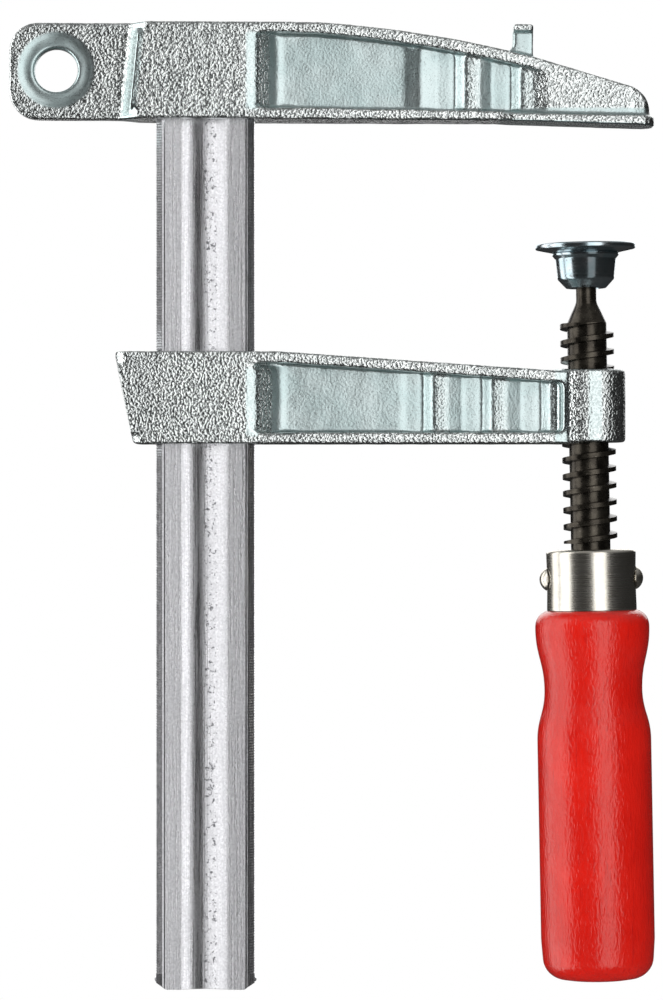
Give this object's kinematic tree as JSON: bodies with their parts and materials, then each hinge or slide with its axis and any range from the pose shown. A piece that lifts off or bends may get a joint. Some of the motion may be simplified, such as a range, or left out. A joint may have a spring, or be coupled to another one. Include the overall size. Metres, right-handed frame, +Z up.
{
  "type": "f clamp",
  "caption": "Steel rail with a fixed cast jaw, a sliding cast jaw on it, a trapezoid-threaded screw with a swivelling pressure pad and a turned wooden handle.",
  "frame": {"origin": "centre of the hanging hole in the fixed jaw's eye", "axes": "+Z up along the rail towards its riveted top, +X from the hanging eye along the jaws to their tips, +Y away from the viewer across the jaws"},
  "size_m": [0.1935, 0.0342, 0.2895],
  "materials": {
    "rail_steel": "drawn, satin",
    "zinc_plated_casting": "malleable iron, zinc plated, grainy",
    "blackened_steel": "rolled thread, black oxide, oiled",
    "spring_steel": "satin",
    "bright_zinc": "polished, zinc plated",
    "ferrule_steel": "drawn, brushed",
    "red_lacquered_wood": "turned hardwood, glossy red lacquer"
  },
  "bodies": {
    "frame": {"rail": "rail_steel", "fixed_jaw": "zinc_plated_casting"},
    "sliding_arm": {"sliding_jaw": "zinc_plated_casting"},
    "carrier": {"retaining_ring": "spring_steel"},
    "screw": {"spindle": "blackened_steel", "ferrule": "ferrule_steel", "handle": "red_lacquered_wood", "handle_rivet": "ferrule_steel"},
    "pad": {"ball_cup": "bright_zinc", "pressure_plate": "bright_zinc"}
  },
  "joints": [
    {"name": "arm_slide", "type": "slide", "parent": "frame", "child": "sliding_arm", "axis": [0, 0, 1], "range_m": [-0.159, 0.002]},
    {"name": "screw_travel", "type": "slide", "parent": "sliding_arm", "child": "carrier", "axis": [-0.0183, 0, 0.9998], "range_m": [-0.02251, 0.03001]},
    {"name": "screw_turn", "type": "hinge", "parent": "carrier", "child": "screw", "pos_m": [0.15875, 0, -0.05951], "axis": [-0.0183, 0, 0.9998], "range_deg": [-1620, 2160]},
    {"name": "pad_tilt", "type": "hinge", "parent": "carrier", "child": "pad", "pos_m": [0.15875, 0, -0.05951], "axis": [0, 1, 0], "range_deg": [-8, 8]}
  ],
  "couplings": [
    {"joint": "screw_travel", "follows": "screw_turn", "m_per_rad": 0.00079577}
  ]
}
